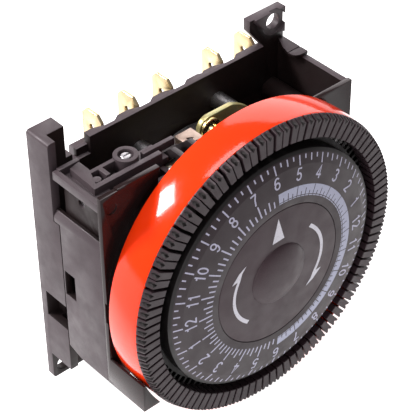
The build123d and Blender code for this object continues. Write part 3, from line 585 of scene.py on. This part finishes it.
pointer_low, pointer_high = mm("pointer_disc")
POINTER_R = pointer_high.x
POINTER_BACK, POINTER_FRONT = -pointer_high.y, -pointer_low.y
POINTER_GAP = 0.07
POINTER_BORE_R = 1.5
POINTER_ROUND = 0.28
DISC_CROWN = ((POINTER_R + POINTER_GAP, 37.2), (18.6, 37.2), (21.1, 36.9), (25.3, 36.26),
              (27.3, 35.5), (28.2, 35.0))      # (radius, depth) of the scale disc's front
CROWN_ROUND = 0.35          # blends the slopes of the crown

cap_low, cap_high = mm("centre_cap")
CAP_R = cap_high.x
CAP_FRONT = -cap_low.y
CAP_STEPS = 16
CAP_FULLNESS = 0.62         # less makes the dome flatter on top


def make_ring():
    """Glossy drum with a slight crown and rounded rims."""
    middle = (RING_BACK + RING_FRONT) / 2
    half = (RING_FRONT - RING_BACK) / 2
    crown_width = RING_FRONT - RING_BACK - 2 * RIM_ROUND
    outer = []
    for step in range(RING_STEPS + 1):
        depth = RING_BACK + RIM_ROUND + crown_width * step / RING_STEPS
        bulge = 1 - ((depth - middle) / half) ** 2
        outer.append((RING_R + (RING_CROWN_R - RING_R) * bulge, depth))
    rims = rounded_outline([
        (RING_R, RING_FRONT, 0.15), (RING_R - RIM_WIDTH, RING_FRONT, 0.1),
        (RING_R - RIM_WIDTH - RIM_SLOPE, RING_FRONT - RIM_STEP, 0.1),
        (RING_INNER_R, RING_FRONT - RIM_STEP, 0.1),
        (RING_INNER_R, RING_BACK, 0.2), (RING_R, RING_BACK, RIM_ROUND),
    ], RIM_ROUND)
    piece = spun("carrier_drum", outer + rims, "ring", "dial", steps=256)
    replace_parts(piece, "carrier_ring")


def disc_depth(radius):
    """Depth of the scale disc's front at a radius."""
    for (r0, d0), (r1, d1) in zip(DISC_CROWN, DISC_CROWN[1:]):
        if radius <= r1:
            return d0 + (d1 - d0) * (radius - r0) / (r1 - r0)
    return DISC_CROWN[-1][1]


def make_scale_disc():
    """Disc with a crowned front, a well for the pointer disc and a hollow back."""
    crown = [(r, d, CROWN_ROUND) for r, d in DISC_CROWN[1:-1]]
    outline = rounded_outline([
        (DISC_BORE_R, DISC_HOLLOW), (DISC_BORE_R, DISC_WELL), (DISC_CROWN[0][0], DISC_WELL, 0.1),
        (*DISC_CROWN[0], 0.15), *crown, (*DISC_CROWN[-1], 0.2),
        (DISC_R, DISC_BACK), (DISC_R - DISC_SKIRT, DISC_BACK), (DISC_R - DISC_SKIRT, DISC_HOLLOW),
    ], 0.12)
    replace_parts(spun("scale_disc_turned", outline, "disc", "dial"), "scale_disc")


def make_pointer_disc():
    """Stationary pointer disc, with its domed cap."""
    outline = rounded_outline([
        (POINTER_BORE_R, POINTER_BACK), (POINTER_BORE_R, POINTER_FRONT, 0),
        (POINTER_R, POINTER_FRONT, POINTER_ROUND), (POINTER_R, POINTER_BACK),
    ], 0.1)
    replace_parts(spun("pointer_plate", outline, "pointer", "frame"), "pointer_disc")
    dome = []
    for step in range(CAP_STEPS):
        radius = CAP_R * cos(pi / 2 * step / CAP_STEPS)
        rise = (CAP_FRONT - POINTER_FRONT) * (1 - (radius / CAP_R) ** 2) ** CAP_FULLNESS
        dome.append((radius, POINTER_FRONT + rise))
    dome += [(0, CAP_FRONT), (0, POINTER_FRONT)]
    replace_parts(spun("centre_dome", dome, "pointer", "frame", steps=128), "centre_cap")


# ---------------------------------------------------------------- dial print
INK = 0.02                  # half the thickness of the print; half of it is above the surface
QUARTERS = 96
QUARTER = radians(360 / QUARTERS)
PRINT_TURN = radians(0.8)   # the scale stands slightly counter-clockwise of the tappets
TICK_WIDTH = 0.34
OUTER_TICK_R = 27.28
OUTER_TICK = (1.95, 0.85, 1.35, 0.85)   # tick lengths at the hour, quarter, half and three quarters
INNER_TICK_R = 18.3
INNER_TICK = (3.2, 1.55, 2.2, 1.55)
BAND_QUARTERS = 48          # the night band is half the scale
BAND_R = (18.35, 19.5, 20.1, 20.85)     # slits end at one of these radii
BAND_SLIT = (3, 1, 2, 1)    # number of BAND_R at which the slit of each quarter ends
BAND_STEPS = 3
SLIT = 0.22
DIGIT_TOP_R = 24.85
DIGIT_HEIGHT = 2.85
DIGIT_ADVANCE = 0.62
DIGIT_WIDTH = 0.56
PEN_WIDTH = 0.36
OVAL_STEPS = 18


def lay_patch(bm, corners, depth_at):
    """Thin closed slab of print over a convex outline of (x, z) points."""
    top = [bm.verts.new((x, -depth_at(hypot(x, z)) - INK, z)) for x, z in corners]
    low = [bm.verts.new((x, -depth_at(hypot(x, z)) + INK, z)) for x, z in corners]
    bm.faces.new(top)
    bm.faces.new(low[::-1])
    for i in range(len(corners)):
        j = (i + 1) % len(corners)
        bm.faces.new((top[i], low[i], low[j], top[j]))


def tick(bm, angle, r0, r1):
    """Radial bar of print on the scale disc, cut where the disc's slope changes."""
    along = Vector(polar(1, angle))
    across = Vector((cos(angle), sin(angle))) * TICK_WIDTH / 2
    breaks = [r0] + [r for r, _ in DISC_CROWN if r0 + 0.05 < r < r1 - 0.05] + [r1]
    for a, b in zip(breaks, breaks[1:]):
        corners = [along * a - across, along * a + across, along * b + across, along * b - across]
        lay_patch(bm, [tuple(c) for c in corners], disc_depth)


def oval(x, y, half_width, half_height, start, end):
    """Points along an ellipse arc, with angles in degrees from +X."""
    turns = [radians(start + (end - start) * i / OVAL_STEPS) for i in range(OVAL_STEPS + 1)]
    return [(x + half_width * cos(t), y + half_height * sin(t)) for t in turns]


SIX = (oval(0.28, 0.31, 0.215, 0.245, 0, 360), oval(0.305, 0.5, 0.24, 0.435, 48, 180))
DIGITS = {          # pen strokes in a box 1 high, with the left edge and baseline at 0
    "0": (oval(0.28, 0.5, 0.215, 0.435, 0, 360),),
    "1": (((0.32, 0.0), (0.32, 1.0)), ((0.34, 0.80), (0.12, 0.74))),
    "2": (oval(0.28, 0.70, 0.215, 0.235, 175, -42) + [(0.08, 0.07)], ((0.02, 0.065), (0.52, 0.065))),
    "3": (oval(0.27, 0.735, 0.19, 0.20, 160, -90), oval(0.27, 0.30, 0.22, 0.235, 90, -160)),
    "4": (((0.38, 0.0), (0.38, 0.97), (0.06, 0.28)), ((0.0, 0.27), (0.54, 0.27))),
    "5": (((0.49, 0.935), (0.15, 0.935), (0.09, 0.48)), oval(0.27, 0.32, 0.22, 0.255, 142, -160)),
    "6": SIX,
    "7": (((0.03, 0.935), (0.52, 0.935)), ((0.51, 0.94), (0.30, 0.5), (0.20, 0.0))),
    "8": (oval(0.28, 0.745, 0.185, 0.195, 0, 360), oval(0.28, 0.30, 0.22, 0.24, 0, 360)),
    "9": tuple([(0.56 - x, 1 - y) for x, y in stroke] for stroke in SIX),
}


def pen_stroke(bm, points, angle):
    """Ribbon of print along points of a number that stands at an angle on the dial."""
    places = [Vector(point) for point in points]
    sides = []
    for i, here in enumerate(places):
        back = here - places[max(i - 1, 0)]
        ahead = places[min(i + 1, len(places) - 1)] - here
        along = (back.normalized() + ahead.normalized()).normalized()
        across = Vector((along.y, -along.x)) * PEN_WIDTH / 2
        pair = []
        for point in (here + across, here - across):
            pair.append((point.x * cos(angle) - point.y * sin(angle),
                         point.x * sin(angle) + point.y * cos(angle)))
        sides.append(pair)
    for (right0, left0), (right1, left1) in zip(sides, sides[1:]):
        lay_patch(bm, [right0, right1, left1, left0], disc_depth)


def number(bm, text, angle):
    """A number whose digits stand with their tops outwards."""
    width = DIGIT_ADVANCE * (len(text) - 1) + DIGIT_WIDTH
    for place, digit in enumerate(text):
        start = place * DIGIT_ADVANCE - width / 2
        for stroke in DIGITS[digit]:
            points = [((start + x) * DIGIT_HEIGHT, DIGIT_TOP_R - DIGIT_HEIGHT * (1 - y))
                      for x, y in stroke]
            pen_stroke(bm, points, angle)


def lay_band(bm, quarter):
    """One quarter of an hour of the night band, with slits where the inner ticks would be."""
    start = PRINT_TURN - QUARTER * quarter
    for row, (r0, r1) in enumerate(zip(BAND_R, BAND_R[1:])):
        for step in range(BAND_STEPS):
            a0 = start - QUARTER * step / BAND_STEPS
            a1 = start - QUARTER * (step + 1) / BAND_STEPS
            if step == 0 and quarter and BAND_SLIT[quarter % 4] > row:
                a0 -= SLIT / 2 / r0
            following = quarter + 1
            if step == BAND_STEPS - 1 and following < BAND_QUARTERS and BAND_SLIT[following % 4] > row:
                a1 += SLIT / 2 / r0
            lay_patch(bm, [polar(r1, a0), polar(r1, a1), polar(r0, a1), polar(r0, a0)], disc_depth)


TRIANGLE = ((9.05, radians(12)), (9.05, radians(-8.8)), (14.8, radians(1.4)))
ARROWS = ((radians(-47), radians(-114), radians(-136)),     # tail, barb and tip
          (radians(134.7), radians(72), radians(51)))
ARROW_R = 11.9
ARROW_BOW = 0.5             # the bar bows outwards by this much in its middle
ARROW_HALF = (0.45, 0.36)   # half width of the bar at its tail and at the head
ARROW_STEPS = 16
BARB = 1.7                  # reach of the head's barb
BARB_TURN = radians(3)      # the barb points back over the bar by this turn
HEAD_BULGE = (0.25, 0.75)   # inner and outer side of the head, halfway to the tip
TIP_DROP = 0.2
HEAD_MIDDLE = 0.3


def pointer_depth(radius):
    """Depth of the pointer disc's flat front, the same at each radius."""
    return POINTER_FRONT


def arrow(bm, tail, barb, tip):
    """Curved arrow that points clockwise: a bar, then a long head with one barb."""
    sides = []
    for step in range(ARROW_STEPS + 1):
        share = step / ARROW_STEPS
        half = ARROW_HALF[0] + (ARROW_HALF[1] - ARROW_HALF[0]) * share
        middle = ARROW_R + ARROW_BOW * sin(pi * share)
        sides.append((middle - half, middle + half, tail + (barb - BARB_TURN - tail) * share))
    for (i0, o0, a0), (i1, o1, a1) in zip(sides, sides[1:]):
        lay_patch(bm, [polar(i0, a0), polar(i1, a1), polar(o1, a1), polar(o0, a0)], pointer_depth)
    inner, outer, neck = sides[-1]
    halfway = (neck + tip) / 2
    head = [polar(inner, neck), polar(outer, neck), polar(ARROW_R + BARB, barb),
            polar(ARROW_R + HEAD_BULGE[1], halfway), polar(ARROW_R - TIP_DROP, tip),
            polar(inner + HEAD_BULGE[0], halfway)]
    middle = polar(ARROW_R + HEAD_MIDDLE, neck + (tip - neck) / 3)
    for first, second in zip(head, head[1:] + head[:1]):
        lay_patch(bm, [middle, first, second], pointer_depth)


def make_print():
    """Scale, digits, night band, triangle and arrows."""
    ticks = bmesh.new()
    for quarter in range(QUARTERS):
        angle = QUARTER * quarter + PRINT_TURN
        tick(ticks, angle, OUTER_TICK_R - OUTER_TICK[quarter % 4], OUTER_TICK_R)
        if 0 < quarter < QUARTERS - BAND_QUARTERS:
            tick(ticks, angle, INNER_TICK_R, INNER_TICK_R + INNER_TICK[quarter % 4])
    add_mesh("scale_ticks", ticks, "ink", "dial")

    numbers = bmesh.new()
    for hour in range(24):
        number(numbers, str((hour + 5) % 12 + 1), 4 * QUARTER * hour + PRINT_TURN)
    add_mesh("scale_numbers", numbers, "ink", "dial")

    band = bmesh.new()
    for quarter in range(BAND_QUARTERS):
        lay_band(band, quarter)
    add_mesh("night_band", band, "band_ink", "dial")

    marks = bmesh.new()
    lay_patch(marks, [polar(r, a) for r, a in TRIANGLE], pointer_depth)
    for tail, barb, tip in ARROWS:
        arrow(marks, tail, barb, tip)
    add_mesh("pointer_marks", marks, "mark_ink", "frame")


# ---------------------------------------------------------------- tappets
TAPPET_GAP = 0.46
TAPPET_LEAN = 0.2           # degrees
LOOSE_HOURS = (5, 11)
TAPPET_R = (30.4, 34.5, 35.1)           # inner end, start of the bevel and outer end
TAPPET_FRONT = 35.3
TAPPET_ROUND = 0.09
INNER_ROUND = 0.12          # rounding of the inner end
BEVEL_DEPTH = 33.75         # depth of the front at the outer end
HEAD_BACK = 31.6
LIP_R = (32.69, 32.71)      # the back steps forwards between these radii, to the lip
LIP_BACK = 33.5
PLAIN_HALF = 0.04           # half width of the flat middle where there is no pit
PIT = ((33.75, 0.0, 0.04), (34.0, 0.30, 0.20), (34.5, 0.75, 0.48), (34.68, 0.85, 0.50),
       (34.85, 0.55, 0.46), (35.0, 0.22, 0.42), (35.1, 0.15, 0.42))  # radius, depth and half width
PIT_END = 34.85             # the painted shade on the pit's floor ends here
PIT_SIDES = (2, 3)          # sides of a tappet's outline that are the pit's two flanks, which get painted shade
TAPPET_SMOOTH = 25          # edges sharper than this, in degrees, stay sharp in shading
LEG = (31.0, 32.6, 0.45, 26.5)      # inner and outer radius, half width and rear end of the leg


def tappet_angle(index):
    """Angle of a tappet from the top; in the loose arc the tappets lean together in pairs."""
    angle = 360 / QUARTERS * (index + 0.5)
    from_start = (6 + angle / 15 - LOOSE_HOURS[0]) % 24
    if from_start > LOOSE_HOURS[1] - LOOSE_HOURS[0]:
        return radians(angle)
    return radians(angle + TAPPET_LEAN * (1 if index % 2 == 0 else -1))


def turned_point(x, depth, radius, angle):
    """Point of a piece modelled at the top of the dial, turned to its place."""
    return (x * cos(angle) - radius * sin(angle), -depth, x * sin(angle) + radius * cos(angle))


def tappet_section(radius, pit, pit_half):
    """Outline of a tappet's head at a radius, as (x, depth) points, with its pit in the middle."""
    front = TAPPET_FRONT
    if radius > TAPPET_R[1]:
        share = (radius - TAPPET_R[1]) / (TAPPET_R[2] - TAPPET_R[1])
        front -= share * (TAPPET_FRONT - BEVEL_DEPTH)
    if radius == TAPPET_R[0]:
        front -= INNER_ROUND
    back = HEAD_BACK if radius <= LIP_R[0] else LIP_BACK
    half = (2 * pi / QUARTERS * radius - TAPPET_GAP) / 2
    return [(-half, front - TAPPET_ROUND), (-half + TAPPET_ROUND, front), (-pit_half, front),
            (0.0, front - pit), (pit_half, front), (half - TAPPET_ROUND, front),
            (half, front - TAPPET_ROUND), (half, back), (-half, back)]


def add_tappet(bm, angle):
    """One captive tappet: wedge head with a bevelled, notched outer end, and its leg."""
    plain = [(radius, 0.0, PLAIN_HALF) for radius in (TAPPET_R[0], TAPPET_R[0] + INNER_ROUND, *LIP_R)]
    stations = (*plain, *PIT)
    loops = []
    for radius, pit, pit_half in stations:
        loops.append([bm.verts.new(turned_point(x, depth, radius, angle))
                      for x, depth in tappet_section(radius, pit, pit_half)])
    for (radius, _, _), first, second in zip(stations, loops, loops[1:]):
        in_pit = PIT[0][0] <= radius < PIT_END
        for i in range(len(first)):
            j = (i + 1) % len(first)
            face = bm.faces.new((first[i], first[j], second[j], second[i]))
            # the pit's floor and flanks take the near-black paint, as painted shade
            face.material_index = 1 if in_pit and i in PIT_SIDES else 0
    bm.faces.new(loops[0])
    bm.faces.new(loops[-1][::-1])
    inner, outer, half, back = LEG
    ends = [[bm.verts.new(turned_point(x, depth, radius, angle))
             for x, radius in ((-half, inner), (half, inner), (half, outer), (-half, outer))]
            for depth in (back, HEAD_BACK)]
    bm.faces.new(ends[0])
    bm.faces.new(ends[1][::-1])
    for i in range(4):
        j = (i + 1) % 4
        bm.faces.new((ends[0][i], ends[0][j], ends[1][j], ends[1][i]))


def make_tappets():
    """All the tappets; those with a joint of their own are pieces of their own."""
    own = {}
    for joint in frame["joints"]:
        if joint["child"].startswith("tappet_"):
            own[joint["child"]] = atan2(joint["axis"][0], -joint["axis"][2])
    fixed = bmesh.new()
    for index in range(QUARTERS):
        angle = tappet_angle(index)
        if all(abs(angle - other) > QUARTER / 4 for other in own.values()):
            add_tappet(fixed, angle)
    # the second material, pit, is painted shade in the tappets' notches
    whole = add_mesh("tappet_set", fixed, "tappet", "dial", TAPPET_SMOOTH, ["pit"])
    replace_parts(whole, "tappets")
    for node, angle in own.items():
        bm = bmesh.new()
        add_tappet(bm, angle)
        # the second material, pit, is painted shade in the notch
        piece = add_mesh(node + "_detailed", bm, "tappet", node, TAPPET_SMOOTH,
                         ["pit"])
        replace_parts(piece, node)


# ---------------------------------------------------------------- housing, switch and mechanism
def make_mouldings():
    """Moulded and stamped pieces with rounded edges."""
    for node, radius in (("rear_base", 0.25), ("terminal_block", 0.3), ("front_housing", 0.2),
                         ("switch_base", 0.15), ("switch_cover", 0.15)):
        # rear_base, front_housing and switch_base get painted shade on their faces in the bay and in
        # recesses
        softened(node, "housing", radius,
                 painted_shade_inside=node in ("rear_base", "front_housing", "switch_base"))
    softened("front_panel", "panel", 0.2)
    softened("switch_lever", "lever", 0.1)
    softened("mechanism_plate", "chromate", 0.08)
    softened("click_strip", "copper", 0.05)
    softened("eyelet_rivet", "eyelet", 0.08)
    softened("cover_screw", "steel", 0.05)
    for number in range(1, 6):
        softened(f"terminal_{number}", "brass", 0.1)


def paint_rest():
    """Materials of the CAD nodes that stay as they are."""
    by_slot = {
        "housing_plastic": "housing", "panel_plastic": "panel", "ring_plastic": "ring",
        "tappet_plastic": "tappet", "disc_plastic": "disc", "hub_plastic": "hub",
        "gear_plastic": "gear", "lever_plastic": "lever", "terminal_brass": "brass",
        "rivet_brass": "eyelet", "chromated_steel": "chromate", "steel": "steel",
        "copper_strip": "copper", "silver_contact": "silver", "coil_copper": "winding",
        "rotor_ferrite": "ferrite",
    }
    for part in frame["record"]["subparts"]:
        piece = nodes[part["node"]]
        paint = materials[by_slot[part["material_slot"]]]
        if not piece.material_slots:
            piece.data.materials.append(paint)
        for place in piece.material_slots:
            place.material = paint


make_camera()
make_stage()
make_ring()
make_scale_disc()
make_pointer_disc()
make_print()
make_tappets()
make_mouldings()
paint_rest()
